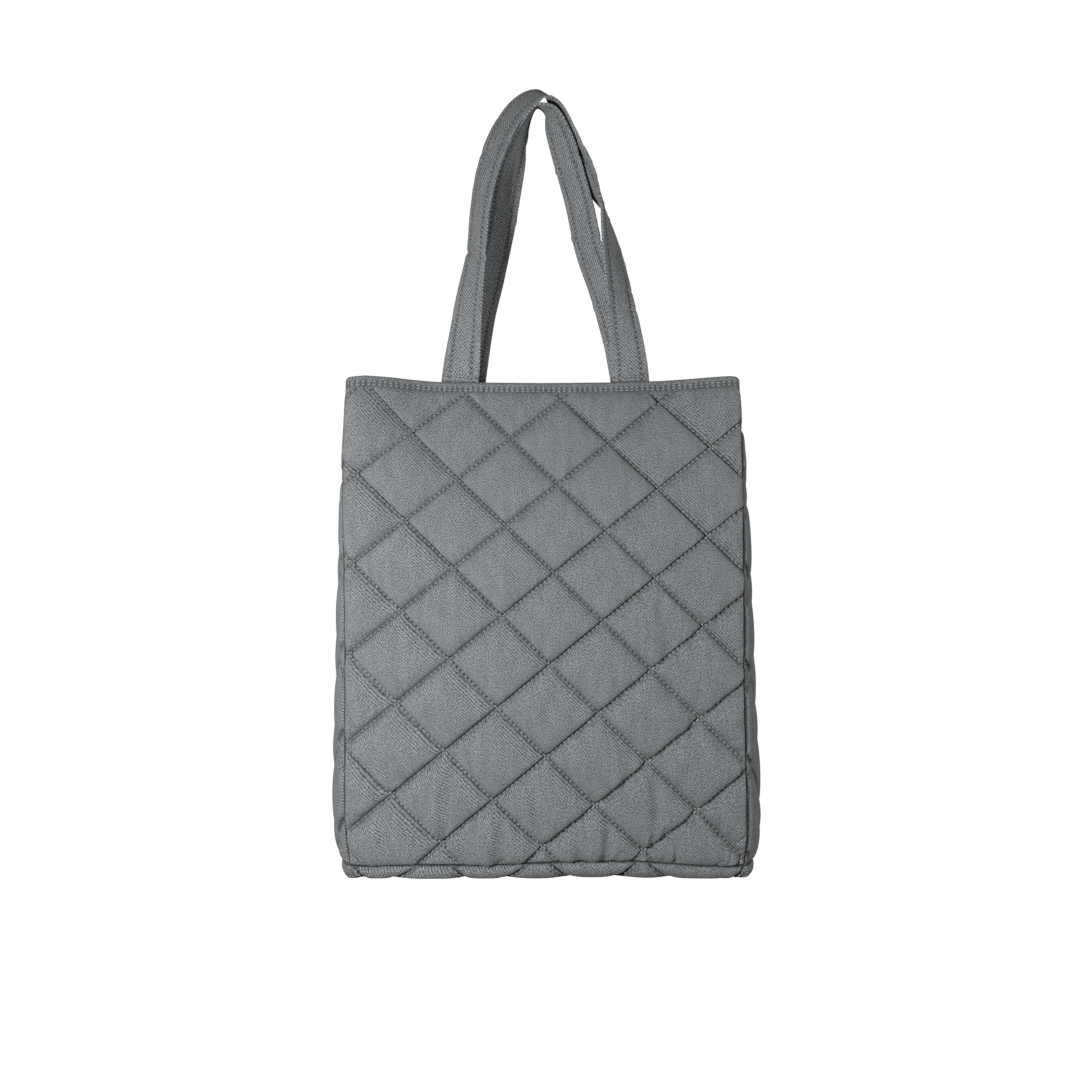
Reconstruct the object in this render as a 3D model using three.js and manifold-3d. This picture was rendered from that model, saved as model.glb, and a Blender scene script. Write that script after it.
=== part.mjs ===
// A quilted tote bag with its two handles pulled up to a peak.
// Millimetres, +Z up, +X to the right as the front is seen, the front facing -Y.
// The origin is the hang point: the middle of the underside of the inner handle's peak.

import * as THREE from 'three';
import { mergeVertices } from 'three/addons/utils/BufferGeometryUtils.js';
import Module from 'manifold-3d';

const wasm = await Module();
wasm.setup();

// Body
const bodyWidth = 322; // between the two seams of the front panel
const bodyHeight = 401; // from the base to the top of the hem
const bodyDepth = 112; // between the front and back seams of a side gusset
const seamLift = 11; // bottom seams above the base
const baseRelief = 1; // stitch lines of the bottom above the base
const leanCloth = 0.02; // extra cloth in the leaning top, as a share of the wall's height

// Quilted wall
const wall = 4.5; // thickness at a stitch line
const puffOut = 4.5; // a diamond's puff on the outside
const puffIn = 1.2; // a diamond's puff on the inside
const hemHeight = 10; // folded hem, without puffs
const seamRound = 12; // width of the edge that rounds into a seam
const seamDip = 1.8; // depth of the groove along a seam
const seamGap = 0.9; // between neighbouring panels, along the surface

// Quilting
const diamondWidth = 81;
const diamondHeight = 74;
const quiltTilt = 3; // degrees, clockwise from outside
const stepsPerDiamond = 4;

// Handles
const handleRise = 229.5; // hang point above the hem
const handleSpacing = 141; // between the two legs of a handle, at the hem
const strapWidth = 31;
const strapThickness = 3.4;
const strapEdge = 2.4; // thickness at the sewn edges
const strapTail = 9; // length sewn behind the hem
const strapGap = 0.4; // between a strap's tail and the wall
const strapSteps = 56;

// Sections of the body, from the bottom seam (0) to the top of the hem (1).
// width and sway are shares of bodyWidth, and sway moves the section to the right.
// corner and middle are the front's distance from the mid-plane at its seams and at its
// middle, left and right the bulge of each side gusset, all as shares of half of bodyDepth.
// flat is the share of the half width over which the middle stays level.
const bodySections = [
  { height: 0.00, width: 0.984, sway: 0.021, corner: 0.96, middle: 0.97, flat: 0.10, left: 0.20, right: 0.21 },
  { height: 0.07, width: 1.000, sway: 0.018, corner: 0.98, middle: 1.02, flat: 0.10, left: 0.20, right: 0.24 },
  { height: 0.20, width: 1.000, sway: 0.016, corner: 1.00, middle: 1.06, flat: 0.10, left: 0.20, right: 0.23 },
  { height: 0.36, width: 0.995, sway: 0.014, corner: 1.00, middle: 1.08, flat: 0.12, left: 0.17, right: 0.20 },
  { height: 0.54, width: 0.996, sway: 0.013, corner: 1.00, middle: 1.05, flat: 0.15, left: 0.13, right: 0.15 },
  { height: 0.67, width: 0.998, sway: 0.011, corner: 0.99, middle: 0.96, flat: 0.22, left: 0.06, right: 0.11 },
  { height: 0.80, width: 1.000, sway: 0.009, corner: 0.96, middle: 0.76, flat: 0.35, left: -0.06, right: 0.03 },
  { height: 0.91, width: 0.994, sway: 0.009, corner: 0.92, middle: 0.51, flat: 0.48, left: -0.22, right: -0.12 },
  { height: 1.00, width: 0.989, sway: 0.009, corner: 0.87, middle: 0.32, flat: 0.55, left: -0.38, right: -0.32 },
];

// Centre line of each handle from its left leg, over the peak, to its right leg.
// side is a share of half of handleSpacing, depth a share of the seat's distance from the
// mid-plane, rise a share of handleRise above the hang point. turn is the compass angle of the
// strap's width in degrees: 0 along +X, 90 along -Y, 180 along -X.
const frontHandleRows = [
  { side: -0.926, depth: 1.00, rise: -1.000, turn: 0 },
  { side: -0.870, depth: 0.98, rise: -0.831, turn: 28 },
  { side: -0.811, depth: 0.90, rise: -0.676, turn: 43 },
  { side: -0.738, depth: 0.70, rise: -0.518, turn: 58 },
  { side: -0.690, depth: 0.55, rise: -0.365, turn: 64 },
  { side: -0.600, depth: 0.35, rise: -0.225, turn: 66 },
  { side: -0.440, depth: 0.15, rise: -0.090, turn: 67 },
  { side: -0.190, depth: 0.00, rise: 0.016, turn: 66 },
  { side: 0.045, depth: 0.00, rise: 0.047, turn: 62 },
  { side: 0.190, depth: -0.15, rise: 0.012, turn: 56 },
  { side: 0.320, depth: -0.45, rise: -0.087, turn: 49 },
  { side: 0.432, depth: -0.55, rise: -0.165, turn: 51 },
  { side: 0.545, depth: -0.30, rise: -0.225, turn: 62 },
  { side: 0.650, depth: 0.15, rise: -0.284, turn: 76 },
  { side: 0.738, depth: 0.80, rise: -0.355, turn: 95 },
  { side: 0.851, depth: 1.05, rise: -0.517, turn: 121 },
  { side: 0.962, depth: 1.10, rise: -0.715, turn: 140 },
  { side: 1.050, depth: 1.02, rise: -0.910, turn: 166 },
  { side: 1.075, depth: 1.00, rise: -1.000, turn: 180 },
];

const backHandleRows = [
  { side: -0.861, depth: 1.00, rise: -1.000, turn: 180 },
  { side: -0.743, depth: 1.00, rise: -0.765, turn: 160 },
  { side: -0.604, depth: 0.95, rise: -0.608, turn: 147 },
  { side: -0.528, depth: 0.92, rise: -0.501, turn: 146 },
  { side: -0.474, depth: 0.88, rise: -0.413, turn: 149 },
  { side: -0.405, depth: 0.80, rise: -0.285, turn: 151 },
  { side: -0.318, depth: 0.65, rise: -0.180, turn: 139 },
  { side: -0.220, depth: 0.55, rise: -0.090, turn: 114 },
  { side: -0.040, depth: 0.00, rise: 0.004, turn: 90 },
  { side: 0.120, depth: 0.05, rise: -0.010, turn: 70 },
  { side: 0.210, depth: 0.20, rise: -0.075, turn: 54 },
  { side: 0.302, depth: 0.42, rise: -0.156, turn: 46 },
  { side: 0.470, depth: 0.80, rise: -0.331, turn: 45 },
  { side: 0.600, depth: 0.95, rise: -0.505, turn: 43 },
  { side: 0.776, depth: 1.05, rise: -0.651, turn: 38 },
  { side: 0.901, depth: 1.05, rise: -0.765, turn: 30 },
  { side: 1.000, depth: 1.02, rise: -0.870, turn: 20 },
  { side: 1.082, depth: 1.00, rise: -1.000, turn: 0 },
];

// Derived places
const hemTop = -handleRise;
const base = hemTop - bodyHeight;
const bottomSeam = base + seamLift;
const wallHeight = bodyHeight - seamLift;

const cloth = new THREE.MeshStandardMaterial({ color: 0x8b8f92, roughness: 0.92, metalness: 0 });
const shadedCloth = new THREE.MeshStandardMaterial({ color: 0x7c8083, roughness: 0.92, metalness: 0 });
const strapCloth = new THREE.MeshStandardMaterial({ color: 0x95999c, roughness: 0.9, metalness: 0 });

// Reads a table at any value of its key column, with a smooth curve through its rows.
function tableReader(rows, key) {
  const columns = Object.keys(rows[0]).filter((name) => name !== key);
  const curve = new THREE.CubicInterpolant(
    rows.map((row) => row[key]),
    rows.flatMap((row) => columns.map((name) => row[name])),
    columns.length,
    new Array(columns.length),
  );
  return (where) => {
    const values = curve.evaluate(where);
    return Object.fromEntries(columns.map((name, index) => [name, values[index]]));
  };
}

const sectionAt = tableReader(bodySections, 'height');

function smooth(value) {
  return THREE.MathUtils.smoothstep(value, 0, 1);
}

// Half width of the body at its seams, and distance of its front from the mid-plane.
function halfWidth(section) {
  return (section.width * bodyWidth) / 2;
}

function frontDistance(section, across) {
  const towardsCorner = smooth((Math.abs(across) - section.flat) / (1 - section.flat));
  return (THREE.MathUtils.lerp(section.middle, section.corner, towardsCorner) * bodyDepth) / 2;
}

// Each wall runs between an outer skin (inset 0) and an inner one (inset wall). Neighbouring
// walls share the line where they meet at every inset, so their edges are true mitres.
// across runs from -1 to 1, up from 0 at the bottom seam to 1 at the top of the hem.
function frontOrBack(facing) {
  return (across, up, inset) => {
    const section = sectionAt(up);
    const side = -facing * across;
    return new THREE.Vector3(
      section.sway * bodyWidth + side * (halfWidth(section) - inset),
      facing * (frontDistance(section, side) - inset),
      bottomSeam + inset + up * (wallHeight - inset),
    );
  };
}

function sideGusset(facing) {
  return (across, up, inset) => {
    const section = sectionAt(up);
    const bulge = ((facing > 0 ? section.right : section.left) * bodyDepth) / 2;
    const corner = (section.corner * bodyDepth) / 2;
    return new THREE.Vector3(
      section.sway * bodyWidth + facing * (halfWidth(section) - inset + bulge * (1 - across * across)),
      facing * across * (corner - inset),
      bottomSeam + inset + up * (wallHeight - inset),
    );
  };
}

// The bottom hangs from the four bottom seams and rounds down to the flat base. Here up runs
// from -1 at the back seam to 1 at the front seam.
function bottomPanel(across, up, inset) {
  const section = sectionAt(0);
  const bulgeShare = across > 0 ? section.right : section.left;
  const bulge = ((bulgeShare * bodyDepth) / 2) * (1 - up * up);
  const sag = Math.sqrt((1 - across ** 16) * (1 - up ** 4)) * (seamLift - baseRelief);
  return new THREE.Vector3(
    section.sway * bodyWidth + across * (halfWidth(section) - inset + bulge),
    -up * (frontDistance(section, across) - inset),
    Math.max(bottomSeam + inset - sag, base),
  );
}

// Fabric coordinates of the point where two stitch lines with these numbers cross.
function quiltPoint(risingLine, fallingLine, quiltOrigin) {
  const point = new THREE.Vector2(
    ((risingLine - fallingLine) * diamondWidth) / 2,
    ((risingLine + fallingLine) * diamondHeight) / 2,
  );
  return point.rotateAround(new THREE.Vector2(), -THREE.MathUtils.degToRad(quiltTilt)).add(quiltOrigin);
}

// The reverse: which stitch lines a point of the fabric lies between.
function quiltLines(point, quiltOrigin) {
  const local = point.clone().sub(quiltOrigin);
  local.rotateAround(new THREE.Vector2(), THREE.MathUtils.degToRad(quiltTilt));
  const sideways = local.x / diamondWidth;
  const upwards = local.y / diamondHeight;
  return [upwards + sideways, upwards - sideways];
}

// Height of a diamond's puff: 0 on its stitch lines and 1 at its middle.
function pillow(point, quiltOrigin) {
  const [rising, falling] = quiltLines(point, quiltOrigin);
  return Math.abs(Math.sin(Math.PI * rising) * Math.sin(Math.PI * falling)) ** 0.6;
}

function toSolid(geometry) {
  geometry.deleteAttribute('normal');
  geometry.deleteAttribute('uv');
  const merged = mergeVertices(geometry);
  const mesh = new wasm.Mesh({
    numProp: 3,
    vertProperties: new Float32Array(merged.attributes.position.array),
    triVerts: new Uint32Array(merged.index.array),
  });
  return new wasm.Manifold(mesh);
}

// A flat blank of a panel, cut from a sheet whose grid follows the stitch lines. Its outer
// vertices lie at a height over 0 and its inner ones below, slightly domed so that no two
// cells of the grid are level with each other.
function cutBlank(rectangle, quiltOrigin) {
  const corners = [
    new THREE.Vector2(rectangle.min.x, rectangle.min.y),
    new THREE.Vector2(rectangle.min.x, rectangle.max.y),
    new THREE.Vector2(rectangle.max.x, rectangle.min.y),
    new THREE.Vector2(rectangle.max.x, rectangle.max.y),
  ];
  const furthestLine = Math.max(...corners.flatMap((corner) => quiltLines(corner, quiltOrigin).map(Math.abs)));
  const lines = Math.ceil(furthestLine) + 1;
  const steps = 2 * lines * stepsPerDiamond;
  const sheet = new THREE.BoxGeometry(2 * lines, 2 * lines, 2, steps, steps, 1);
  const vertices = sheet.attributes.position;
  for (let i = 0; i < vertices.count; i += 1) {
    const rising = vertices.getX(i);
    const falling = vertices.getY(i);
    const point = quiltPoint(rising, falling, quiltOrigin);
    const dome = 1 + (rising * rising + falling * falling) / (10 * lines * lines);
    vertices.setXYZ(i, point.x, point.y, vertices.getZ(i) * dome);
  }
  const size = rectangle.getSize(new THREE.Vector2());
  const centre = rectangle.getCenter(new THREE.Vector2());
  const outline = new THREE.BoxGeometry(size.x, size.y, 10).translate(centre.x, centre.y, 0);
  return toSolid(sheet).intersect(toSolid(outline)).getMesh();
}

// Cuts a panel's blank, pads it and bends it onto the body. size is its fabric's width and
// height, hem the height of its folded top edge, or 0 where all four edges are seams.
// place turns fabric coordinates and an inset into a point of the bag.
function quiltedPanel(name, { size, hem, quiltOrigin, place, material }) {
  const rectangle = new THREE.Box2(
    new THREE.Vector2(-size.x / 2 + seamGap / 2, seamGap / 2),
    new THREE.Vector2(size.x / 2 - seamGap / 2, hem > 0 ? size.y : size.y - seamGap / 2),
  );
  const blank = cutBlank(rectangle, quiltOrigin);
  const positions = [];
  for (let i = 0; i < blank.vertProperties.length; i += 3) {
    const [x, y, side] = blank.vertProperties.slice(i, i + 3);
    const point = new THREE.Vector2(x, y);
    const toSide = Math.min(x - rectangle.min.x, rectangle.max.x - x, y - rectangle.min.y);
    const toTop = rectangle.max.y - y;
    const toSeam = hem > 0 ? toSide : Math.min(toSide, toTop);
    const free = smooth(toSeam / seamRound) * (hem > 0 ? smooth((toTop - hem) / seamRound) : 1);
    const puff = free * pillow(point, quiltOrigin);
    const outside = seamDip * (1 - smooth(toSeam / seamRound)) - puffOut * puff;
    const inside = wall + puffIn * puff;
    positions.push(...place(point, side > 0 ? outside : inside));
  }
  const geometry = new THREE.BufferGeometry();
  geometry.setAttribute('position', new THREE.Float32BufferAttribute(positions, 3));
  geometry.setIndex([...blank.triVerts]);
  geometry.computeVertexNormals();
  const mesh = new THREE.Mesh(geometry, material);
  mesh.name = name;
  return mesh;
}

// The leaning top takes more cloth than its height, so fabric rows close up there.
function heightShare(fabricHeight) {
  const fabricShare = fabricHeight / wallHeight / (1 + leanCloth);
  return fabricShare * (1 + leanCloth) - leanCloth * fabricShare ** 3;
}

function uprightPanel(name, { width, quiltAcross, quiltUp, skin, material }) {
  return quiltedPanel(name, {
    size: new THREE.Vector2(width, wallHeight * (1 + leanCloth)),
    hem: hemHeight,
    quiltOrigin: new THREE.Vector2(quiltAcross * width, quiltUp * wallHeight),
    place: (point, inset) => skin(point.x / (width / 2), heightShare(point.y), inset),
    material,
  });
}

function bottomGusset() {
  return quiltedPanel('bottom_gusset', {
    size: new THREE.Vector2(bodyWidth, bodyDepth),
    hem: 0,
    quiltOrigin: new THREE.Vector2(-0.27 * bodyWidth, 1.1 * bodyDepth),
    place: (point, inset) => bottomPanel(point.x / (bodyWidth / 2), (2 * point.y) / bodyDepth - 1, inset),
    material: shadedCloth,
  });
}

// A padded strap along a handle's centre line, with a tail behind the hem at each end.
function handle(name, rows, facing) {
  const rim = sectionAt(1);
  const tailSection = sectionAt(1 - strapTail / wallHeight);
  const seat = wall + strapGap + strapThickness / 2;
  const seatDepth = (rim.middle * bodyDepth) / 2 - seat;
  const tailDepth = (tailSection.middle * bodyDepth) / 2 - seat;
  const points = rows.map((row) => new THREE.Vector3(
    (row.side * handleSpacing) / 2,
    facing * row.depth * seatDepth,
    strapThickness / 2 + row.rise * (handleRise + strapThickness / 2),
  ));
  const leftTail = new THREE.Vector3(points[0].x, facing * tailDepth, hemTop - strapTail);
  const rightTail = new THREE.Vector3(points[points.length - 1].x, facing * tailDepth, hemTop - strapTail);
  const line = new THREE.CatmullRomCurve3([leftTail, ...points, rightTail]);
  const turns = [rows[0], ...rows, rows[rows.length - 1]].map((row, index) => ({ index, turn: row.turn }));
  const turnAt = tableReader(turns, 'index');

  const geometry = new THREE.BoxGeometry(1, 1, 1, 2, 1, strapSteps);
  const vertices = geometry.attributes.position;
  for (let i = 0; i < vertices.count; i += 1) {
    const share = THREE.MathUtils.clamp(vertices.getZ(i) + 0.5, 0, 1);
    const along = line.getTangentAt(share);
    const turn = THREE.MathUtils.degToRad(turnAt(line.getUtoTmapping(share) * (turns.length - 1)).turn);
    const across = new THREE.Vector3(Math.cos(turn), -Math.sin(turn), 0);
    const outward = across.clone().cross(along).normalize();
    const level = outward.clone().cross(along).negate();
    const thickness = THREE.MathUtils.lerp(strapThickness, strapEdge, 2 * Math.abs(vertices.getX(i)));
    const point = line.getPointAt(share);
    point.addScaledVector(level, vertices.getX(i) * strapWidth);
    point.addScaledVector(outward, -vertices.getY(i) * thickness);
    vertices.setXYZ(i, point.x, point.y, point.z);
  }
  const mesh = new THREE.Mesh(geometry, strapCloth);
  mesh.name = name;
  return mesh;
}

const bag = new THREE.Group();
bag.add(
  uprightPanel('front_panel', {
    width: bodyWidth, quiltAcross: 0.0145, quiltUp: 0.415, skin: frontOrBack(-1), material: cloth,
  }),
  uprightPanel('back_panel', {
    width: bodyWidth, quiltAcross: -0.0145, quiltUp: 0.415, skin: frontOrBack(1), material: cloth,
  }),
  uprightPanel('side_gusset_right', {
    width: bodyDepth, quiltAcross: -0.36, quiltUp: 0.39, skin: sideGusset(1), material: shadedCloth,
  }),
  uprightPanel('side_gusset_left', {
    width: bodyDepth, quiltAcross: 0.36, quiltUp: 0.43, skin: sideGusset(-1), material: shadedCloth,
  }),
  bottomGusset(),
  handle('handle_front', frontHandleRows, -1),
  handle('handle_back', backHandleRows, 1),
);

export default bag;
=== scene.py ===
"""A quilted tote bag, its handles pulled up to a peak, on a white studio floor.

Each quilted panel is laid flat as a sheet, padded by a cloth simulation that is held along its
stitch lines, and then bent onto the body. A flat piece has millimetres as its units: across the
fabric, up the fabric, and the height over the stitch lines. A finished piece has metres.
"""

import math

import bmesh
import bpy
import numpy as np
from mathutils import Matrix, Vector


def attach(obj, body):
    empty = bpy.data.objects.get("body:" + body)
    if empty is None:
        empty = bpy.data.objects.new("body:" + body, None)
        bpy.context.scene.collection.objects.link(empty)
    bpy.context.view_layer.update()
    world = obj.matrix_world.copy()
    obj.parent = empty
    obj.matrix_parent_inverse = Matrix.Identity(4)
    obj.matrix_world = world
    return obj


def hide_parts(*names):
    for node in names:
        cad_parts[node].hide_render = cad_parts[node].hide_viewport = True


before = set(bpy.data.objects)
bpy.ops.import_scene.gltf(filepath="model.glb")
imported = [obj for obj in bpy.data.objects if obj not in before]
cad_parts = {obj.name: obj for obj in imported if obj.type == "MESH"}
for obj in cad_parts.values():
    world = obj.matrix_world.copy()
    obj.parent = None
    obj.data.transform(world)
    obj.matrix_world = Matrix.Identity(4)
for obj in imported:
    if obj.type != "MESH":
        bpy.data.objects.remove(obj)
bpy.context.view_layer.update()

METRE = 0.001

# Body
body_width = 322
body_height = 401
body_depth = 112
seam_lift = 11
base_relief = 1
lean_cloth = 0.02

# Quilted wall
wall = 4.5
puff_out = 6.2
hem_height = 8.5
hem_rows = (5, 7.5)  # topstitching, below the hem's edge
seam_round = 3
seam_dip = 0.7
seam_gap = 0.9

# Quilting
diamond_width = 81
diamond_height = 74
quilt_tilt = math.radians(3)
stitches_per_side = 13  # along each side of a diamond
steps_per_side = 26  # of the cloth's grid

# Handles
handle_rise = 229.5
handle_spacing = 141
strap_width = 31
strap_thickness = 3.4
strap_tail = 9
strap_gap = 0.4
strap_rows = (-9.2, 8.6)  # topstitching, from the strap's middle
strap_cross_rows = (1.4, 6.2)  # stitching over the strap, above the hem's edge

# Thread
stitch_length = 4.3
thread_radius = 0.42
hem_thread_height = 0.5

# Relief of the sewing, in millimetres
line_sag = 1.5  # of a stitch line, where its pull is 1
pucker_height = 0.3
hole_depth = 0.35
wrinkle_dip = 2.0
wrinkle_ridge = 1.0
hem_band_rise = 1.0
hem_edge_drop = 1.3

# Sections of the body, from the bottom seam (0) to the top of the hem (1): height, width, sway,
# corner, middle, flat, left and right. Width and sway are shares of the body's width. Corner and
# middle are the front's distance from the mid-plane, left and right the bulge of a side gusset,
# as shares of half the body's depth. Flat is the level share of the half width.
body_sections = (
    (0.00, 0.984, 0.021, 0.96, 0.97, 0.10, 0.20, 0.21),
    (0.07, 1.000, 0.018, 0.98, 1.02, 0.10, 0.20, 0.24),
    (0.20, 1.000, 0.016, 1.00, 1.06, 0.10, 0.20, 0.23),
    (0.36, 0.995, 0.014, 1.00, 1.08, 0.12, 0.17, 0.20),
    (0.54, 0.996, 0.013, 1.00, 1.05, 0.15, 0.13, 0.15),
    (0.67, 0.998, 0.011, 0.99, 0.96, 0.22, 0.06, 0.11),
    (0.80, 1.000, 0.009, 0.96, 0.76, 0.35, -0.06, 0.03),
    (0.91, 0.994, 0.009, 0.92, 0.51, 0.48, -0.22, -0.12),
    (1.00, 0.989, 0.009, 0.87, 0.32, 0.55, -0.38, -0.32),
)

# How far the hem's edge stands over its level line: the place across the front as a share of its
# half width, and the rise in millimetres.
hem_rises = (
    (-1.00, 1.6), (-0.90, 3.6), (-0.78, 3.2), (-0.58, 1.3), (-0.50, 0.6), (0.00, 0.0), (0.35, 0.5),
    (0.55, 1.4), (0.80, 2.2), (0.95, 2.8), (1.00, 1.8),
)

# How far the bottom seam stands over its level line, in the same way.
seam_rises = (
    (-1.0, 0.0), (-0.9, -1.0), (-0.75, 0.0), (-0.3, 0.0), (-0.1, 1.5), (0.15, 3.2), (0.45, 3.2),
    (0.7, 0.3), (0.9, -1.0), (1.0, 0.0),
)

# Centre line of each handle from its left leg, over the peak, to its right leg: side, depth,
# rise and turn. Side is a share of half the handle's spacing, depth of the seat's distance from
# the mid-plane, rise of the handle's rise above the hang point. Turn is the compass angle of the
# strap's width in degrees: 0 along +X, 90 along -Y, 180 along -X.
front_handle_line = (
    (-0.926, 1.00, -1.000, 0),
    (-0.870, 0.98, -0.831, 28),
    (-0.811, 0.90, -0.676, 43),
    (-0.738, 0.70, -0.518, 58),
    (-0.690, 0.55, -0.365, 64),
    (-0.600, 0.35, -0.225, 66),
    (-0.440, 0.15, -0.090, 67),
    (-0.190, 0.00, 0.016, 66),
    (0.045, 0.00, 0.047, 62),
    (0.190, -0.15, 0.012, 56),
    (0.320, -0.45, -0.087, 49),
    (0.432, -0.55, -0.165, 51),
    (0.545, -0.30, -0.225, 62),
    (0.650, 0.15, -0.284, 76),
    (0.738, 0.80, -0.355, 95),
    (0.851, 1.05, -0.517, 121),
    (0.962, 1.10, -0.715, 140),
    (1.050, 1.02, -0.910, 166),
    (1.075, 1.00, -1.000, 180),
)
back_handle_line = (
    (-0.861, 1.00, -1.000, 180),
    (-0.743, 1.00, -0.765, 160),
    (-0.604, 0.95, -0.608, 147),
    (-0.528, 0.92, -0.501, 146),
    (-0.474, 0.88, -0.413, 149),
    (-0.405, 0.80, -0.285, 151),
    (-0.318, 0.65, -0.180, 139),
    (-0.220, 0.55, -0.090, 114),
    (-0.040, 0.00, 0.004, 90),
    (0.120, 0.05, -0.010, 70),
    (0.210, 0.20, -0.075, 54),
    (0.302, 0.42, -0.156, 46),
    (0.470, 0.80, -0.331, 45),
    (0.600, 0.95, -0.505, 43),
    (0.776, 1.05, -0.651, 38),
    (0.901, 1.05, -0.765, 30),
    (1.000, 1.02, -0.870, 20),
    (1.082, 1.00, -1.000, 0),
)

# Creases over the handles: the place as a row of the handle's line, the slant, depth and width
front_handle_creases = (
    (3.87, 0.3, 1.3, 2.2), (6.6, -0.4, 0.7, 3.0), (9.5, 0.2, 1.4, 2.0), (11.6, -0.3, 0.8, 2.6),
    (16.75, 0.15, 0.7, 1.6), (17.1, 0.1, 0.8, 1.8),
)
back_handle_creases = (
    (5.4, -0.4, 0.9, 3.0), (7.6, 0.5, 0.9, 3.0), (12.25, 0.2, 1.1, 1.8), (13.78, -0.3, 1.3, 2.4),
    (15.2, 0.3, 0.6, 2.4),
)

# How far a handle leans forwards about its own line near the peak, as (row of its line, degrees)
front_handle_banks = ((4, 0), (6.5, 20), (8.5, 25), (9.7, 25), (10.6, 14), (12.5, 0))
back_handle_banks = ((6, 0), (8.5, 8), (9.5, 8), (11, 0))

hem_top = -handle_rise
base = hem_top - body_height
bottom_seam = base + seam_lift
wall_height = body_height - seam_lift


# Curves and tables

def smooth(share):
    share = np.clip(share, 0, 1)
    return share * share * (3 - 2 * share)


def bell(distance, width):
    return np.exp(-((distance / width) ** 2))


def once_per_stitch(stitch):
    """Rises from 0 to 1 and falls back over each stitch."""
    return 0.5 - 0.5 * np.cos(2 * np.pi * stitch)


def curve_through(keys, values, where):
    """Reads a table at any place, on a smooth curve through its rows."""
    keys = np.asarray(keys, float)
    values = np.asarray(values, float)
    where = np.clip(where, keys[0], keys[-1])
    end = np.clip(np.searchsorted(keys, where, side="right"), 1, len(keys) - 1)
    start = end - 1
    before = np.where(start > 0, start - 1, end)
    after = np.where(end < len(keys) - 1, end + 1, start)
    half = (keys[end] - keys[start]) / 2
    pull = half / (keys[start] - keys[before])
    push = half / (keys[after] - keys[end])
    t = (where - keys[start]) / (2 * half)
    shares = (
        (before, pull * (-(t**3) + 2 * t**2 - t)),
        (start, (1 + pull) * t**3 - (1.5 + 2 * pull) * t**2 + (pull - 0.5) * t + 1),
        (end, -(1 + push) * t**3 + (1.5 + push) * t**2 + 0.5 * t),
        (after, push * (t**3 - t**2)),
    )
    return sum(values[index] * weight[..., None] for index, weight in shares)


class Section:
    """The body's cross-section at some heights, in millimetres."""

    def __init__(self, height):
        rows = np.array(body_sections)
        shares = curve_through(rows[:, 0], rows[:, 1:], height)
        width, sway, corner, middle, flat, left, right = shares.T
        self.half_width = width * body_width / 2
        self.shift = sway * body_width
        self.corner = corner * body_depth / 2
        self.middle = middle * body_depth / 2
        self.flat = flat
        self.left = left * body_depth / 2
        self.right = right * body_depth / 2

    def front(self, across):
        towards_corner = smooth((np.abs(across) - self.flat) / (1 - self.flat))
        return self.middle + (self.corner - self.middle) * towards_corner


def hem_rise(across, up):
    rises = np.array(hem_rises)
    return np.interp(across, rises[:, 0], rises[:, 1]) * smooth((up - 0.85) / 0.15)


def seam_rise(across, up):
    rises = np.array(seam_rises)
    return np.interp(across, rises[:, 0], rises[:, 1]) * smooth(1 - up / 0.12)


# The body's skins: places on the bag for fabric coordinates and a depth under the stitch lines

def front_or_back(facing):
    def place(across, up, inset):
        section = Section(up)
        side = -facing * across
        height = bottom_seam + inset + up * (wall_height - inset)
        return np.column_stack((
            section.shift + side * (section.half_width - inset),
            facing * (section.front(side) - inset),
            height + hem_rise(side, up) + seam_rise(side, up),
        ))
    return place


def side_gusset(facing):
    def place(across, up, inset):
        section = Section(up)
        bulge = (section.right if facing > 0 else section.left) * (1 - across**2)
        return np.column_stack((
            section.shift + facing * (section.half_width - inset + bulge),
            facing * across * (section.corner - inset),
            bottom_seam + inset + up * (wall_height - inset) + hem_rise(facing + 0 * up, up),
        ))
    return place


def turn_under(along):
    """The bottom's edge under a seam: how far it has run inwards and its share of the drop."""
    drop = seam_lift - base_relief
    radius = drop - 1
    angle = np.clip((along - 1) / radius, 0, np.pi / 2)
    level = np.maximum(along - 1 - radius * np.pi / 2, 0)
    share = (np.minimum(along, 1) + radius * np.sin(angle)) / drop
    return radius * (1 - np.cos(angle)) + level, share


def bottom_gusset(across, up, inset):
    section = Section(np.zeros(len(across)))
    bulge = np.where(across > 0, section.right, section.left) * (1 - up**2)
    drop = seam_lift - base_relief
    slack = 1 + (drop - 1) * (np.pi / 2 - 1)
    half_width, half_depth = body_width / 2, body_depth / 2
    inwards_x, share_x = turn_under((1 - np.abs(across)) * (half_width + slack))
    inwards_y, share_y = turn_under((1 - np.abs(up)) * (half_depth + slack))
    side = np.sign(across) * (1 - inwards_x / half_width)
    depth = np.sign(up) * (1 - inwards_y / half_depth)
    rise = seam_rise(across, (1 - np.abs(up)) / 4)
    return np.column_stack((
        section.shift + side * (section.half_width - inset + bulge),
        -depth * (section.front(across) - inset),
        np.maximum(bottom_seam + inset - drop * share_x * share_y + rise, base),
    ))


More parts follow.
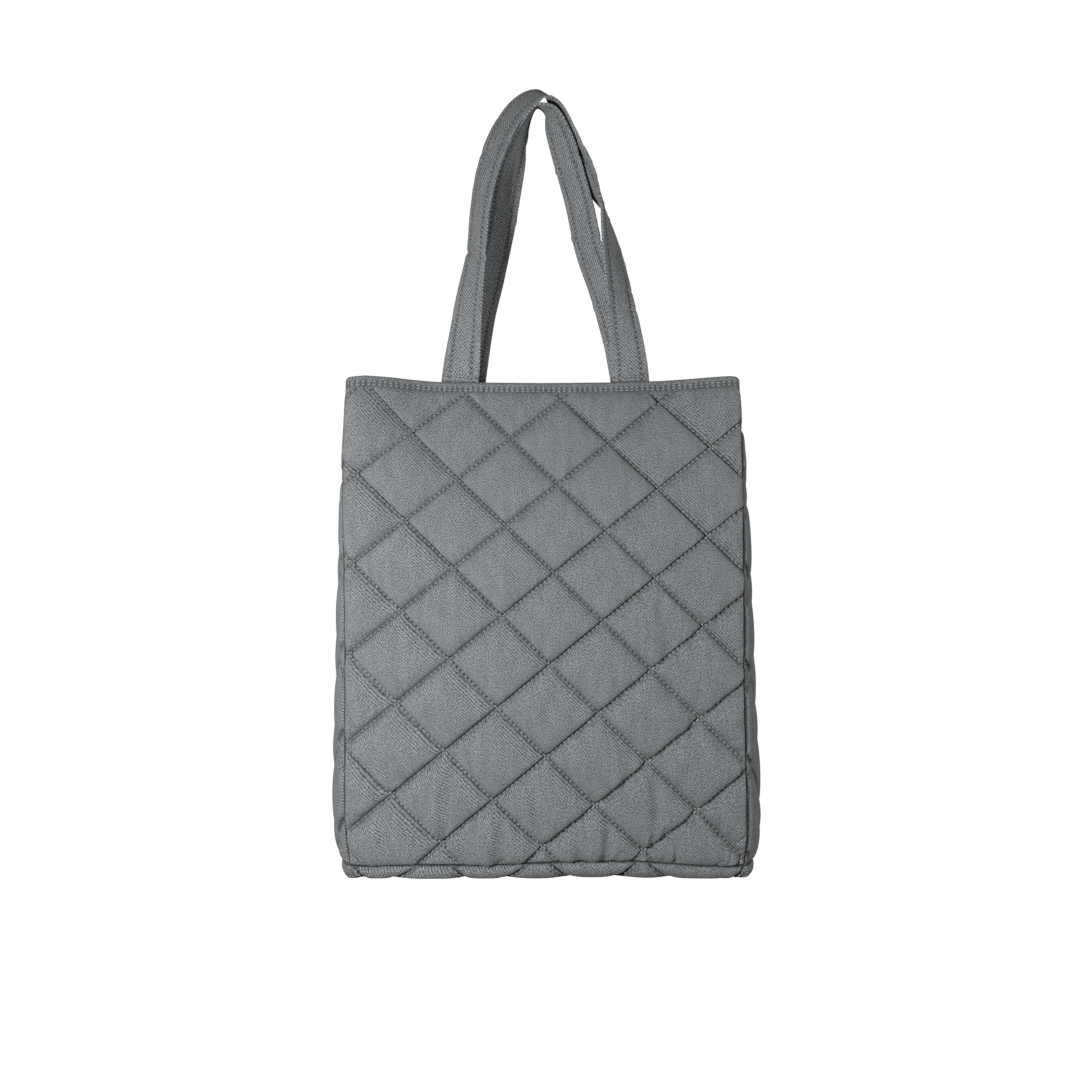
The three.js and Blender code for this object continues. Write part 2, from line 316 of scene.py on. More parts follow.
class Panel:
    """A quilted panel: its fabric's size, its quilting's origin and its place on the body."""

    def __init__(self, name, width, height, hem, fullness, quilt_origin, place):
        self.name = name
        self.fullness = fullness
        self.width = width
        self.height = height
        self.hem = hem
        self.quilt_origin = quilt_origin
        self.place = place
        self.left = -width / 2 + seam_gap / 2
        self.right = width / 2 - seam_gap / 2
        self.low = seam_gap / 2
        self.top = height if hem else height - seam_gap / 2

    def quilt_lines(self, x, y):
        """Which rising and falling stitch lines a point lies between."""
        x = x - self.quilt_origin[0]
        y = y - self.quilt_origin[1]
        turned_x = x * math.cos(quilt_tilt) - y * math.sin(quilt_tilt)
        turned_y = x * math.sin(quilt_tilt) + y * math.cos(quilt_tilt)
        sideways = turned_x / diamond_width
        upwards = turned_y / diamond_height
        return upwards + sideways, upwards - sideways

    def quilt_point(self, rising, falling):
        x = (rising - falling) * diamond_width / 2
        y = (rising + falling) * diamond_height / 2
        return (
            x * math.cos(quilt_tilt) + y * math.sin(quilt_tilt) + self.quilt_origin[0],
            -x * math.sin(quilt_tilt) + y * math.cos(quilt_tilt) + self.quilt_origin[1],
        )

    def to_seam(self, x, y):
        """Distance to the nearest sewn edge."""
        edges = [x - self.left, self.right - x, y - self.low]
        if not self.hem:
            edges.append(self.top - y)
        return np.min(edges, axis=0)

    def bend(self, flat):
        """Takes points of the flat fabric to the bag."""
        x, y, height = flat.T
        across = x / (self.width / 2)
        if self.hem:
            share = y / self.height
            up = share * (1 + lean_cloth) - lean_cloth * share**3
        else:
            up = 2 * y / self.height - 1
        return self.place(across, up, -height)


upright_height = wall_height * (1 + lean_cloth)
bottom_origin = (-0.27 * body_width, 1.1 * body_depth)
panels = (
    Panel("front_panel", body_width, upright_height, hem_height, 1,
          (0.0145 * body_width, 0.415 * wall_height), front_or_back(-1)),
    Panel("back_panel", body_width, upright_height, hem_height, 1,
          (-0.0145 * body_width, 0.415 * wall_height), front_or_back(1)),
    Panel("side_gusset_right", body_depth, upright_height, hem_height, 0.7,
          (-0.36 * body_depth, 0.39 * wall_height), side_gusset(1)),
    Panel("side_gusset_left", body_depth, upright_height, hem_height, 0.7,
          (0.36 * body_depth, 0.43 * wall_height), side_gusset(-1)),
    Panel("bottom_gusset", body_width, body_depth, 0, 0.5, bottom_origin, bottom_gusset),
)


# Meshes

def points_of(mesh):
    points = np.empty(len(mesh.vertices) * 3, np.float32)
    mesh.vertices.foreach_get("co", points)
    return points.reshape(-1, 3).astype(float)


def finished_mesh(work, name):
    mesh = bpy.data.meshes.new(name)
    work.to_mesh(mesh)
    work.free()
    return mesh


def move_points(mesh, points):
    mesh.vertices.foreach_set("co", np.asarray(points, np.float32).ravel())
    mesh.update()


def make_object(name, mesh):
    piece = bpy.data.objects.new(name, mesh)
    bpy.context.scene.collection.objects.link(piece)
    return piece


def applied(piece, name):
    """A mesh with the piece's modifiers applied."""
    seen = piece.evaluated_get(bpy.context.evaluated_depsgraph_get())
    mesh = bpy.data.meshes.new_from_object(seen)
    mesh.name = name
    return mesh


def remove(piece):
    mesh = piece.data
    bpy.data.objects.remove(piece)
    bpy.data.meshes.remove(mesh)


def add_fabric_map(mesh, flat):
    """Keeps each corner's place on the flat fabric as a UV map, in centimetres."""
    corners = np.empty(len(mesh.loops), np.int32)
    mesh.loops.foreach_get("vertex_index", corners)
    layer = mesh.uv_layers.new(name="fabric")
    layer.data.foreach_set("uv", (flat[corners, :2] / 10).astype(np.float32).ravel())


def add_value(mesh, name, values):
    attribute = mesh.attributes.new(name, "FLOAT", "POINT")
    attribute.data.foreach_set("value", np.asarray(values, np.float32))


# Quilting

def cut_blank(panel):
    """The flat sheet of a panel, with its grid along the stitch lines."""
    corners = [(x, y) for x in (panel.left, panel.right) for y in (panel.low, panel.top)]
    furthest = max(abs(line) for x, y in corners for line in panel.quilt_lines(x, y))
    lines = math.ceil(furthest) + 1
    grid = bmesh.new()
    bmesh.ops.create_grid(
        grid, x_segments=2 * lines * steps_per_side, y_segments=2 * lines * steps_per_side, size=lines
    )
    across = Vector((diamond_width / 2, diamond_height / 2, 0))
    up = Vector((-diamond_width / 2, diamond_height / 2, 0))
    lattice = Matrix((across, up, (0, 0, 1))).transposed().to_4x4()
    turn = Matrix.Rotation(-quilt_tilt, 4, "Z")
    shift = Matrix.Translation((*panel.quilt_origin, 0))
    bmesh.ops.transform(grid, matrix=shift @ turn @ lattice, verts=grid.verts)
    cuts = (
        ((panel.left, 0, 0), (-1, 0, 0)),
        ((panel.right, 0, 0), (1, 0, 0)),
        ((0, panel.low, 0), (0, -1, 0)),
        ((0, panel.top, 0), (0, 1, 0)),
    )
    for point, outward in cuts:
        everything = grid.verts[:] + grid.edges[:] + grid.faces[:]
        bmesh.ops.bisect_plane(
            grid, geom=everything, dist=0.7, plane_co=point, plane_no=outward,
            use_snap_center=True, clear_outer=True,
        )
    return finished_mesh(grid, panel.name)


def held_points(panel, flat):
    """Points of the fabric that stitches, seams or the hem hold."""
    x, y = flat[:, 0], flat[:, 1]
    on_line = np.zeros(len(flat), bool)
    for line in panel.quilt_lines(x, y):
        on_line |= np.abs(line - np.round(line)) < 0.2 / steps_per_side
    near_hem = y > panel.top - panel.hem - 0.5
    return on_line | near_hem | (panel.to_seam(x, y) < 0.2)


cloth_scale = 10  # the simulation works on a sheet this many times larger
cloth_frames = 12
largest_puff = 6.5


def pad_with_cloth(sheet, panel):
    """Blows the sheet up between its stitch lines, as padding does."""
    flat = points_of(sheet.data)
    held = held_points(panel, flat)
    move_points(sheet.data, flat * cloth_scale * METRE)
    group = sheet.vertex_groups.new(name="held")
    group.add(np.nonzero(held)[0].tolist(), 1, "REPLACE")
    cloth = sheet.modifiers.new("padding", "CLOTH")
    settings = cloth.settings
    settings.quality = 4
    settings.vertex_group_mass = "held"
    settings.effector_weights.gravity = 0
    settings.use_pressure = True
    settings.uniform_pressure_force = 4
    settings.shrink_min = -0.015
    settings.bending_stiffness = 0.3
    cloth.collision_settings.use_collision = False
    cloth.point_cache.frame_end = cloth_frames
    for step in range(1, cloth_frames + 1):
        bpy.context.scene.frame_set(step)
    padded = applied(sheet, panel.name)
    sheet.modifiers.clear()
    sheet.data = padded
    move = points_of(padded) / (cloth_scale * METRE) - flat
    move[:, :2] = np.clip(move[:, :2], -2, 2)
    move[:, 2] = np.clip(move[:, 2], -0.5, largest_puff)
    bpy.context.scene.frame_set(1)
    return flat + move


def stitch_details(panel, flat, seed):
    """Height that the stitches add along their lines, and painted shade for the grooves and their stitch
    holes.
    """
    chance = np.random.RandomState(seed)
    height = np.zeros(len(flat))
    painted_shade = np.zeros(len(flat))
    side = math.hypot(diamond_width, diamond_height) / 2
    height_over_side = diamond_width * diamond_height / 2 / side
    rising, falling = panel.quilt_lines(flat[:, 0], flat[:, 1])
    up = flat[:, 1] / panel.height
    rising_pull = 0.75 + 0.6 * smooth((up - 0.3) / 0.4)
    falling_pull = 1.35 - 0.35 * smooth((up - 0.55) / 0.25)
    for line, along, pull in ((rising, falling, rising_pull), (falling, rising, falling_pull)):
        number = np.round(line)
        distance = np.abs(line - number) * height_over_side
        strengths = chance.uniform(0.35, 1.3, (64, 4096))
        stitch = along * stitches_per_side
        which = np.floor(stitch + 0.5).astype(int)
        half = (line > number).astype(int)
        strength = strengths[(number.astype(int) * 2 + half) % 64, which % 4096]
        pucker = np.cos(2 * np.pi * stitch)
        height -= line_sag * pull * bell(distance, 2.0)
        beside = bell(distance, 3.2) * (0.3 + 0.7 * smooth(distance / 1.5))
        height -= pucker_height * pucker * strength * beside
        holes = once_per_stitch(stitch + 0.5)
        height -= hole_depth * holes * bell(distance, 0.8)
        # Painted shade along each stitch line, darkest in its stitch holes, and a wide soft band of
        # painted shade beside it
        painted_shade = np.maximum(painted_shade, (0.35 + 0.65 * holes) * bell(distance, 1.2))
        painted_shade = np.maximum(painted_shade, 0.12 * bell(distance, 3.5))
    return height, painted_shade


wrinkles = (
    # x and y at its two ends, depth and half width, in millimetres on the front's fabric
    (-74, 78, -77, 30, 1.2, 3.4),
    (-63, 30, -66, 10, 1.1, 3.0),
    (-34, 38, -37, 4, 1.3, 3.4),
    (-8, 72, -6, 38, 1.0, 3.2),
    (24, 26, 26, 10, 1.1, 2.8),
    (50, 36, 47, 8, 1.2, 3.0),
    (64, 90, 69, 66, 1.0, 3.6),
    (86, 80, 89, 44, 1.8, 4.6),
    (84, 24, 86, 2, 1.5, 2.6),
    (94, 26, 95, 2, 1.6, 2.6),
    (103, 24, 104, 2, 1.4, 2.6),
    (92, 212, 99, 172, 1.0, 4.2),
    (-122, 82, -115, 58, 0.9, 3.6),
    (-127, 42, -124, 22, 0.9, 3.2),
    (118, 120, 122, 96, 0.8, 3.6),
    (8, 150, 4, 128, 0.6, 3.6),
    (-98, 205, -92, 184, 0.6, 3.6),
    (-20, 238, -14, 214, 0.5, 3.6),
    (52, 268, 56, 246, 0.5, 3.6),
)


def wrinkle_details(panel, flat):
    height = np.zeros(len(flat))
    for x0, y0, x1, y1, depth, width in wrinkles:
        start = np.array((x0, y0), float)
        run = np.array((x1 - x0, y1 - y0), float)
        length = np.hypot(*run)
        offset = flat[:, :2] - start
        share = offset @ run / length**2
        beside = (offset[:, 0] * run[1] - offset[:, 1] * run[0]) / length
        beyond = np.maximum(np.maximum(-share, share - 1), 0) * length
        height -= wrinkle_dip * depth * bell(beside, 1.5 * width) * bell(beyond, 8)
        height += wrinkle_ridge * depth * bell(beside - 3 * width, 1.6 * width) * bell(beyond, 8)
    to_line = [np.abs(line - np.round(line)) for line in panel.quilt_lines(flat[:, 0], flat[:, 1])]
    return height * smooth(np.min(to_line, axis=0) / 0.16)


def shape_edges(panel, flat):
    """Rounds the fabric into its seams and its hem."""
    x, y, height = flat.T
    to_seam = panel.to_seam(x, y)
    height = height - seam_dip * (1 - smooth(to_seam / seam_round))
    if panel.hem:
        to_top = panel.top - y
        band = 1 - smooth((to_top - panel.hem) / 1.5)
        rows = np.max([bell(to_top - row, 0.9) for row in hem_rows], axis=0)
        pull = once_per_stitch((x - panel.left) / stitch_length)
        height = height + hem_band_rise * band * smooth(to_seam / 6)
        height = height - (0.7 + 0.7 * pull) * rows * smooth(to_seam / 3)
        height = height - hem_edge_drop * bell(to_top, 1.3)
    return np.column_stack((x, y, height))


def full_puff(height):
    """Gives the puffs steeper sides and a flatter top, as thick padding does."""
    share = np.clip(height / largest_puff, 0, 1)
    return np.where(height > 0, puff_out * (1 - (1 - share) ** 3), height)


def quilted_panel(panel, seed):
    blank = cut_blank(panel)
    sheet = make_object(panel.name, blank)
    flat = points_of(blank)
    padded = pad_with_cloth(sheet, panel)
    move_points(sheet.data, padded)

    # The lining is the unsubdivided sheet under the wall's thickness
    lining = bmesh.new()
    lining.from_mesh(sheet.data)
    for vertex in lining.verts:
        vertex.co.z = -wall - 0.27 * vertex.co.z
    bmesh.ops.reverse_faces(lining, faces=lining.faces)
    lining_mesh = finished_mesh(lining, "lining")

    finer = sheet.modifiers.new("finer", "SUBSURF")
    finer.levels = finer.render_levels = 1
    outer_mesh = applied(sheet, panel.name)
    remove(sheet)
    outer = points_of(outer_mesh)
    outer[:, 2] = full_puff(outer[:, 2]) * panel.fullness
    relief, painted_shade = stitch_details(panel, outer, seed)
    if panel.name == "front_panel":
        relief = relief + wrinkle_details(panel, outer)
    free = smooth((panel.to_seam(outer[:, 0], outer[:, 1]) - 0.5) / 2)
    if panel.hem:
        free = free * smooth((panel.top - outer[:, 1] - panel.hem - 0.5) / 2)
    outer[:, 2] += relief * free
    outer = shape_edges(panel, outer)
    move_points(outer_mesh, outer)
    painted_shade = painted_shade * free
    # Painted shade in the hem's stitch rows and holes, a painted shadow under the hem's fold and a
    # painted dark line along the hem's top edge
    if panel.hem:
        to_top = panel.top - outer[:, 1]
        holes = once_per_stitch((outer[:, 0] - panel.left) / stitch_length + 0.5)
        rows = np.max([bell(to_top - row, 0.9) for row in hem_rows], axis=0)
        painted_shade = np.maximum(painted_shade, rows * (0.35 + 0.65 * holes))
        painted_shade = np.maximum(painted_shade, 0.4 * bell(to_top - panel.hem, 2.0))
        painted_shade = np.maximum(painted_shade, 0.5 * bell(to_top, 0.6))
    # Painted shade along the seams, where the gap between the panels lies in shadow
    painted_shade = np.maximum(painted_shade, bell(panel.to_seam(outer[:, 0], outer[:, 1]), 0.5))
    add_value(outer_mesh, "painted_shade", painted_shade)

    shell = bmesh.new()
    shell.from_mesh(outer_mesh)
    shell.from_mesh(lining_mesh)
    rim = [edge for edge in shell.edges if edge.is_boundary]
    bmesh.ops.bridge_loops(shell, edges=rim)
    mesh = finished_mesh(shell, panel.name)
    bpy.data.meshes.remove(lining_mesh)
    bpy.data.meshes.remove(outer_mesh)
    flat = points_of(mesh)
    add_fabric_map(mesh, flat)
    move_points(mesh, panel.bend(flat) * METRE)
    mesh.shade_smooth()
    return make_object(panel.name + "_cloth", mesh)


# Straps

strap_rings = 400
strap_sides = 96
strap_edge_radius = 1.3
small_creases = 44


class StrapLine:
    """A handle's centre line and the direction of its width, by length along it."""

    def __init__(self, rows, facing, creases, banks):
        rim = Section(np.array([1.0]))
        under_hem = Section(np.array([1 - strap_tail / wall_height]))
        seat = wall + strap_gap + strap_thickness / 2
        seat_depth = rim.middle[0] - seat
        tail_depth = under_hem.middle[0] - seat
        side, depth, rise, turn = np.array(rows, float).T
        points = np.column_stack((
            side * handle_spacing / 2,
            facing * depth * seat_depth,
            strap_thickness / 2 + rise * (handle_rise + strap_thickness / 2),
        ))
        tails = [(points[end][0], facing * tail_depth, hem_top - strap_tail) for end in (0, -1)]
        points = np.vstack((tails[0], points, tails[1]))
        turn = np.concatenate((turn[:1], turn, turn[-1:]))
        steps = np.sqrt(np.linalg.norm(np.diff(points, axis=0), axis=1))
        knots = np.concatenate(([0], np.cumsum(steps)))
        index = np.arange(len(points))
        fine = np.linspace(0, len(points) - 1, 4000)
        line = curve_through(knots, points, np.interp(fine, index, knots))
        turns = np.radians(curve_through(index, turn[:, None], fine)[:, 0])
        lengths = np.concatenate(([0], np.cumsum(np.linalg.norm(np.diff(line, axis=0), axis=1))))
        self.length = lengths[-1]
        self.lengths = lengths
        self.line = line
        self.turns = turns
        self.creases = [(np.interp(row, fine, lengths), *crease) for row, *crease in creases]
        self.banks = np.radians(np.interp(fine, *np.transpose(banks)))

    def read(self, values, where):
        return np.column_stack([np.interp(where, self.lengths, column) for column in values.T])

    def bend(self, flat):
        """Takes points of the flat strap (across, along, outward) to the handle."""
        across, along, outward = flat.T
        point = self.read(self.line, along)
        tangent = self.read(np.gradient(self.line, self.lengths, axis=0), along)
        tangent /= np.linalg.norm(tangent, axis=1)[:, None]
        turn = np.interp(along, self.lengths, self.turns)
        width = np.column_stack((np.cos(turn), -np.sin(turn), np.zeros(len(turn))))
        face = np.cross(width, tangent)
        face /= np.linalg.norm(face, axis=1)[:, None]
        level = -np.cross(face, tangent)
        bank = np.interp(along, self.lengths, self.banks)
        to_side = across * np.cos(bank) + outward * np.sin(bank)
        to_face = outward * np.cos(bank) - across * np.sin(bank)
        return point + level * to_side[:, None] + face * to_face[:, None]


def strap_push(line, across, along):
    """How far the creases of the soft strap push it to one side."""
    chance = np.random.RandomState(len(line.creases))
    push = np.zeros(len(across))
    for place, slant, depth, width in line.creases:
        push -= depth * bell(along + slant * across - place, width)
    for place in chance.uniform(strap_tail, line.length - strap_tail, small_creases):
        slant = chance.uniform(-0.9, 0.9)
        depth = chance.uniform(-0.35, 0.35)
        width = chance.uniform(1.5, 4.5)
        side = chance.choice((-1, 1))
        push -= depth * bell(along + slant * across - place, width) * smooth((side * across + 8) / 12)
    return push


def strap_half_thickness(across, along):
    """The padded middle, the sewn rows and the flat edge strips."""
    left, right = strap_rows
    middle = (left + right) / 2
    reach = (right - left) / 2
    inside = np.clip(1 - ((across - middle) / reach) ** 2, 0, 1) ** 0.6
    half = 1.15 + 0.7 * inside
    for row in strap_rows:
        beside = across - row
        half = half - 0.5 * bell(beside, 1.2)
        half = half - 0.22 * np.cos(2 * np.pi * along / stitch_length) * bell(beside, 2.2)
    return half


def strap(name, line):
    tube = bmesh.new()
    bmesh.ops.create_cone(tube, cap_ends=True, segments=strap_sides, radius1=1, radius2=1, depth=1)
    long_edges = [edge for edge in tube.edges if abs(edge.verts[0].co.z - edge.verts[1].co.z) > 0.5]
    bmesh.ops.subdivide_edges(tube, edges=long_edges, cuts=strap_rings, use_grid_fill=True)
    mesh = finished_mesh(tube, name)
    round_x, round_y, height = points_of(mesh).T
    across = round_x * strap_width / 2
    along = (height + 0.5) * line.length
    edge_start = strap_width / 2 - strap_edge_radius
    over_edge = np.clip((np.abs(across) - edge_start) / strap_edge_radius, 0, 1)
    thickness = strap_half_thickness(across, along) * np.sqrt(1 - over_edge**2)
    outward = np.where(np.abs(round_y) < 1e-6, 0, np.sign(round_y) * thickness)
    outward += strap_push(line, across, along)
    flat = np.column_stack((across, along, outward))
    add_fabric_map(mesh, flat)
    # Painted shade in the strap's stitch rows and holes, and along the rows sewn across its ends
    holes = once_per_stitch(along / stitch_length)
    near_row = np.max([bell(across - row, 1.1) for row in strap_rows], axis=0) * (0.5 + 0.5 * holes)
    to_end = np.minimum(along, line.length - along) - strap_tail
    cross_row = np.max([bell(to_end - row, 0.9) for row in strap_cross_rows], axis=0)
    add_value(mesh, "painted_shade", np.maximum(near_row, 0.8 * cross_row))
    move_points(mesh, line.bend(flat) * METRE)
    fix = bmesh.new()
    fix.from_mesh(mesh)
    bmesh.ops.recalc_face_normals(fix, faces=fix.faces)
    fix.to_mesh(mesh)
    fix.free()
    mesh.shade_smooth()
    return make_object(name, mesh)


# Thread

def stitches(name, centres, angles, length, bend):
    """Short rounded stitches at these flat places, turned by these angles."""
    bead = bmesh.new()
    size = Matrix.Diagonal((length / 2, thread_radius, thread_radius * 0.8, 1))
    bmesh.ops.create_uvsphere(bead, u_segments=6, v_segments=4, radius=1, matrix=size)
    mesh = finished_mesh(bead, name)
    single = points_of(mesh)
    row = make_object(name, mesh)
    copies = row.modifiers.new("copies", "ARRAY")
    copies.count = len(centres)
    copies.use_relative_offset = False
    many = applied(row, name)
    remove(row)
    cosine, sine = np.cos(angles)[:, None], np.sin(angles)[:, None]
    x = centres[:, 0, None] + single[:, 0] * cosine - single[:, 1] * sine
    y = centres[:, 1, None] + single[:, 0] * sine + single[:, 1] * cosine
    z = centres[:, 2, None] + single[:, 2] + 0 * x
    flat = np.stack((x, y, z), axis=-1).reshape(-1, 3)
    add_fabric_map(many, flat)
    move_points(many, bend(flat) * METRE)
    many.shade_smooth()
    return make_object(name, many)


def quilt_stitches(panel):
    places = []
    reach = 12 * stitches_per_side
    for rising in (True, False):
        for line in range(-12, 13):
            along = (np.arange(-reach, reach) + 0.5) / stitches_per_side
            pair = (line + 0 * along, along) if rising else (along, line + 0 * along)
            ahead = (pair[0], pair[1] + 0.01) if rising else (pair[0] + 0.01, pair[1])
            x, y = panel.quilt_point(*pair)
            next_x, next_y = panel.quilt_point(*ahead)
            angle = np.arctan2(next_y - y, next_x - x)
            places.append(np.column_stack((x, y, np.full(len(x), 0.05), angle)))
    if panel.hem:
        count = (panel.right - panel.left) / stitch_length
        x = panel.left + stitch_length * (np.arange(1, count - 1) + 0.5)
        for drop in hem_rows:
            y = np.full(len(x), panel.top - drop)
            height = np.full(len(x), hem_thread_height)
            places.append(np.column_stack((x, y, height, 0 * x)))
    places = np.vstack(places)
    x, y = places[:, 0], places[:, 1]
    on_hem = places[:, 2] == hem_thread_height
    clear = panel.to_seam(x, y) > 2.5
    clear &= on_hem | (panel.top - y > panel.hem + 2)
    places = places[clear]
    name = panel.name + "_stitches"
    return stitches(name, places[:, :3], places[:, 3], stitch_length * 0.8, panel.bend)


def strap_stitches(name, line):
    places = []
    along = np.arange(strap_tail + 3, line.length - strap_tail - 3, stitch_length)
    for face in (-1, 1):
        for row in strap_rows:
            across = np.full(len(along), row)
            turned = np.full(len(along), np.pi / 2)
            places.append(np.column_stack((across, along, face + 0 * along, turned)))
        for row in strap_cross_rows:
            across = np.arange(-12.5, 13, 3.4)
            for end in (strap_tail + row, line.length - strap_tail - row):
                places.append(np.column_stack((across, end + 0 * across, face + 0 * across, 0 * across)))
    places = np.vstack(places)
    across, along, face = places[:, :3].T
    places[:, 2] = face * (strap_half_thickness(across, 0 * along) + 0.15)
    places[:, 2] += strap_push(line, across, along)
    return stitches(name, places[:, :3], places[:, 3], stitch_length * 0.7, line.bend)


# Finishes

def twill(name, light, dark, rib, groove_shade):
    """Matt diagonal twill on the fabric map, with ribs this many millimetres apart."""
    material = bpy.data.materials.new(name)
    material.use_nodes = True
    tree = material.node_tree
    nodes, links = tree.nodes, tree.links
    shader = nodes["Principled BSDF"]
    shader.inputs["Roughness"].default_value = 0.92
    shader.inputs["Specular IOR Level"].default_value = 0.25
    shader.inputs["Sheen Weight"].default_value = 0.15
    shader.inputs["Sheen Roughness"].default_value = 0.5

    fabric = nodes.new("ShaderNodeUVMap")
    fabric.uv_map = "fabric"
    ribs = nodes.new("ShaderNodeTexWave")
    ribs.bands_direction = "DIAGONAL"
    ribs.inputs["Scale"].default_value = 2 * math.pi / 10 / (rib / 10 * math.sqrt(2))
    ribs.inputs["Distortion"].default_value = 1.2
    ribs.inputs["Detail"].default_value = 2
    ribs.inputs["Detail Scale"].default_value = 2.5
    links.new(fabric.outputs["UV"], ribs.inputs["Vector"])
    yarn = nodes.new("ShaderNodeTexNoise")
    yarn.inputs["Scale"].default_value = 8.5
    yarn.inputs["Detail"].default_value = 2
    links.new(fabric.outputs["UV"], yarn.inputs["Vector"])
    stretch = nodes.new("ShaderNodeMapping")
    stretch.inputs["Scale"].default_value = (1.6, 0.45, 1)
    links.new(fabric.outputs["UV"], stretch.inputs["Vector"])
    mottle = nodes.new("ShaderNodeTexNoise")
    mottle.inputs["Scale"].default_value = 1
    mottle.inputs["Detail"].default_value = 5
    mottle.inputs["Roughness"].default_value = 0.65
    links.new(stretch.outputs["Vector"], mottle.inputs["Vector"])

    weave = nodes.new("ShaderNodeMix")
    weave.inputs["Factor"].default_value = 0.55
    links.new(ribs.outputs["Fac"], weave.inputs["A"])
    sharp = nodes.new("ShaderNodeMapRange")
    sharp.inputs["From Min"].default_value = 0.36
    sharp.inputs["From Max"].default_value = 0.64
    links.new(yarn.outputs["Fac"], sharp.inputs["Value"])
    links.new(sharp.outputs["Result"], weave.inputs["B"])
    colour = nodes.new("ShaderNodeMix")
    colour.data_type = "RGBA"
    colour.inputs["A"].default_value = (*dark, 1)
    colour.inputs["B"].default_value = (*light, 1)
    links.new(weave.outputs["Result"], colour.inputs["Factor"])

    tone = nodes.new("ShaderNodeMapRange")
    tone.inputs["From Min"].default_value = 0.3
    tone.inputs["From Max"].default_value = 0.7
    tone.inputs["To Min"].default_value = 0.84
    tone.inputs["To Max"].default_value = 1.16
    links.new(mottle.outputs["Fac"], tone.inputs["Value"])
    # Painted shade: the base colour darkens towards groove_shade where the mesh attribute marks stitch
    # lines, stitch holes, seams and hem rows
    painted_shade = nodes.new("ShaderNodeAttribute")
    painted_shade.attribute_name = "painted_shade"
    shade = nodes.new("ShaderNodeMapRange")
    shade.inputs["To Min"].default_value = 1
    shade.inputs["To Max"].default_value = groove_shade
    links.new(painted_shade.outputs["Fac"], shade.inputs["Value"])
    both = nodes.new("ShaderNodeMath")
    both.operation = "MULTIPLY"
    links.new(tone.outputs["Result"], both.inputs[0])
    links.new(shade.outputs["Result"], both.inputs[1])
    scaled = nodes.new("ShaderNodeVectorMath")
    scaled.operation = "SCALE"
    links.new(colour.outputs["Result"], scaled.inputs[0])
    links.new(both.outputs[0], scaled.inputs["Scale"])
    links.new(scaled.outputs["Vector"], shader.inputs["Base Color"])

    bump = nodes.new("ShaderNodeBump")
    bump.inputs["Strength"].default_value = 0.5
    bump.inputs["Distance"].default_value = 0.0002
    links.new(weave.outputs["Result"], bump.inputs["Height"])
    links.new(bump.outputs["Normal"], shader.inputs["Normal"])
    return material


def plain(name, colour, roughness):
    material = bpy.data.materials.new(name)
    material.use_nodes = True
    shader = material.node_tree.nodes["Principled BSDF"]
    shader.inputs["Base Color"].default_value = (*colour, 1)
    shader.inputs["Roughness"].default_value = roughness
    return material


quilt_twill = twill("quilt_twill", (0.275, 0.289, 0.299), (0.02, 0.021, 0.022), 1.75, 0.12)
strap_twill = twill("strap_twill", (0.34, 0.356, 0.369), (0.004, 0.0045, 0.005), 2.0, 0.2)
thread_grey = twill("thread_grey", (0.35, 0.364, 0.377), (0.22, 0.229, 0.237), 0.9, 1.0)

first_seed = 11
for number, panel in enumerate(panels):
    cloth_piece = quilted_panel(panel, first_seed + number)
    cloth_piece.data.materials.append(quilt_twill)
    thread_piece = quilt_stitches(panel)
    thread_piece.data.materials.append(thread_grey)
    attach(cloth_piece, "root")
    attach(thread_piece, "root")
    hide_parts(panel.name)

handles = (
    ("handle_front", front_handle_line, -1, front_handle_creases, front_handle_banks),
    ("handle_back", back_handle_line, 1, back_handle_creases, back_handle_banks),
)
for name, rows, facing, creases, banks in handles:
    line = StrapLine(rows, facing, creases, banks)
    strap_piece = strap(name + "_strap", line)
    strap_piece.data.materials.append(strap_twill)
    thread_piece = strap_stitches(name + "_stitches", line)
    thread_piece.data.materials.append(thread_grey)
    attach(strap_piece, "root")
    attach(thread_piece, "root")
    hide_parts(name)


# Studio

floor_reach = 3  # metres to each side
backdrop_height = 4


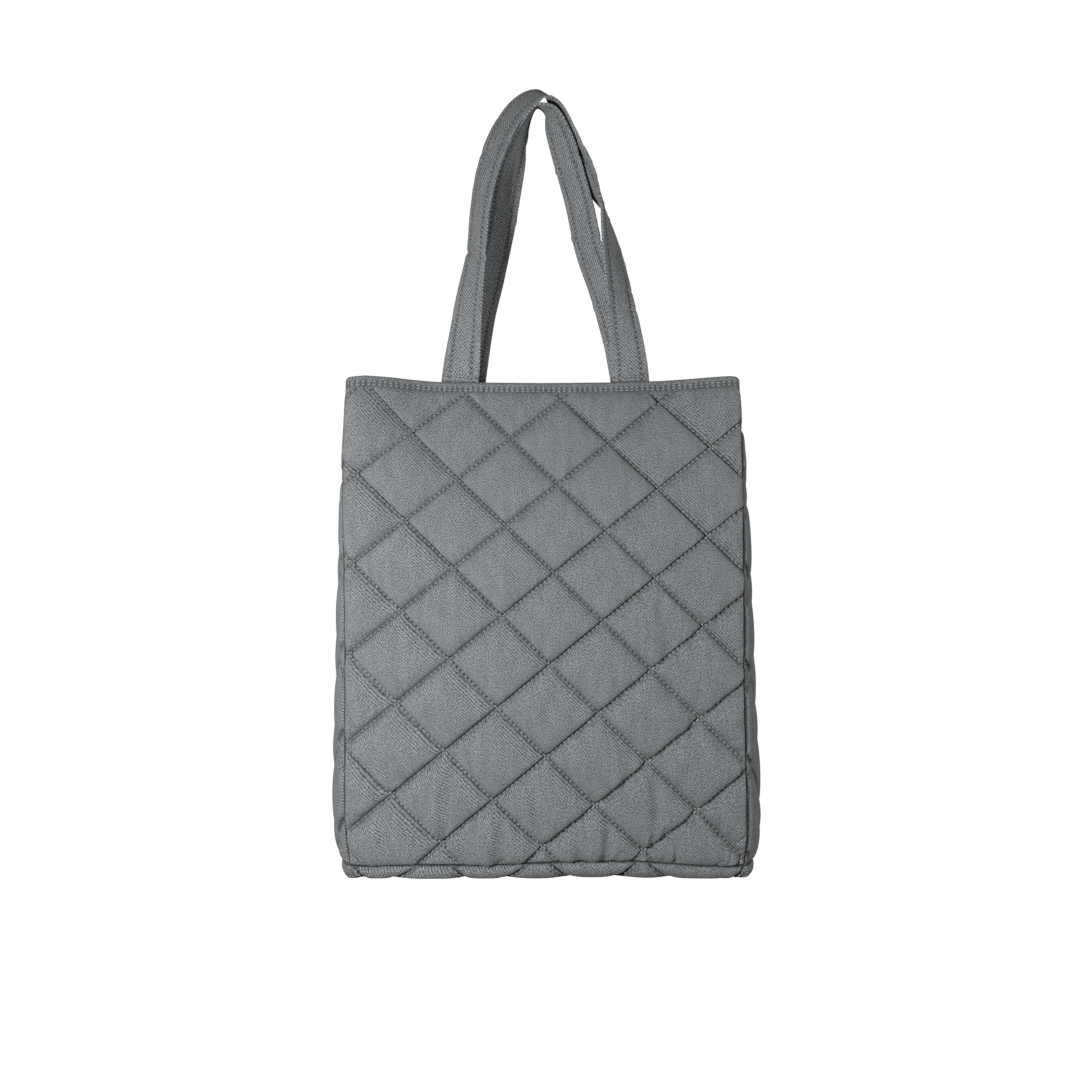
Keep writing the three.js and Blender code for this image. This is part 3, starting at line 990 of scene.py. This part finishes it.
def studio():
    at_back = floor_reach - 0.1
    floor = bmesh.new()
    bmesh.ops.create_grid(floor, x_segments=1, y_segments=1, size=floor_reach)
    back_edge = [edge for edge in floor.edges if all(v.co.y > at_back for v in edge.verts)]
    raised = bmesh.ops.extrude_edge_only(floor, edges=back_edge)
    top = [item for item in raised["geom"] if isinstance(item, bmesh.types.BMVert)]
    bmesh.ops.translate(floor, vec=(0, 0, backdrop_height), verts=top)
    corner = [edge for edge in floor.edges if all(v.co.y > at_back and v.co.z < 0.1 for v in edge.verts)]
    bmesh.ops.bevel(
        floor, geom=corner, offset=1.2, offset_type="OFFSET", segments=24, profile=0.5,
        affect="EDGES", material=-1,
    )
    bmesh.ops.translate(floor, vec=(0, 0, base * METRE), verts=floor.verts)
    bmesh.ops.recalc_face_normals(floor, faces=floor.faces)
    mesh = finished_mesh(floor, "studio_floor")
    mesh.shade_smooth()
    piece = make_object("studio_floor", mesh)
    white = plain("studio_white", (0.3, 0.3, 0.3), 0.9)
    shader = white.node_tree.nodes["Principled BSDF"]
    shader.inputs["Emission Color"].default_value = (1, 1, 1, 1)
    shader.inputs["Emission Strength"].default_value = 0.96
    piece.data.materials.append(white)
    piece.visible_diffuse = False
    piece.visible_glossy = False

    # A darker floor in the same place gives the bag its shade from below
    ground = bmesh.new()
    bmesh.ops.create_grid(ground, x_segments=1, y_segments=1, size=2)
    bmesh.ops.translate(ground, vec=(0, 0, base * METRE - 0.0005), verts=ground.verts)
    shade = make_object("studio_shade", finished_mesh(ground, "studio_shade"))
    shade.data.materials.append(plain("studio_grey", (0.06, 0.06, 0.06), 0.9))
    shade.visible_camera = False
    shade.visible_shadow = False


def soft_light(name, place, aim, size, power):
    lamp = bpy.data.lights.new(name, "AREA")
    lamp.shape = "RECTANGLE"
    lamp.size, lamp.size_y = size
    lamp.energy = power
    light = bpy.data.objects.new(name, lamp)
    bpy.context.scene.collection.objects.link(light)
    light.location = place
    light.rotation_euler = (Vector(aim) - Vector(place)).to_track_quat("-Z", "Y").to_euler()


studio()
soft_light("key", (-0.47, -0.76, -0.36), (0.0, 0.0, -0.40), (0.1, 0.1), 10.1)
soft_light("fill", (1.5, -0.75, -0.3), (0.0, 0.0, -0.4), (0.8, 0.8), 16)

world = bpy.data.worlds.new("studio_light")
world.use_nodes = True
world.node_tree.nodes["Background"].inputs["Color"].default_value = (1, 1, 1, 1)
world.node_tree.nodes["Background"].inputs["Strength"].default_value = 0.12
bpy.context.scene.world = world
bpy.context.scene.view_settings.view_transform = "Standard"

lens = bpy.data.cameras.new("camera")
lens.sensor_width = 36
lens.lens = 54.17
camera = bpy.data.objects.new("camera", lens)
bpy.context.scene.collection.objects.link(camera)
camera.location = (0.0008, -1.355, -0.3587)
camera.rotation_euler = (math.pi / 2, 0, 0)
bpy.context.scene.camera = camera
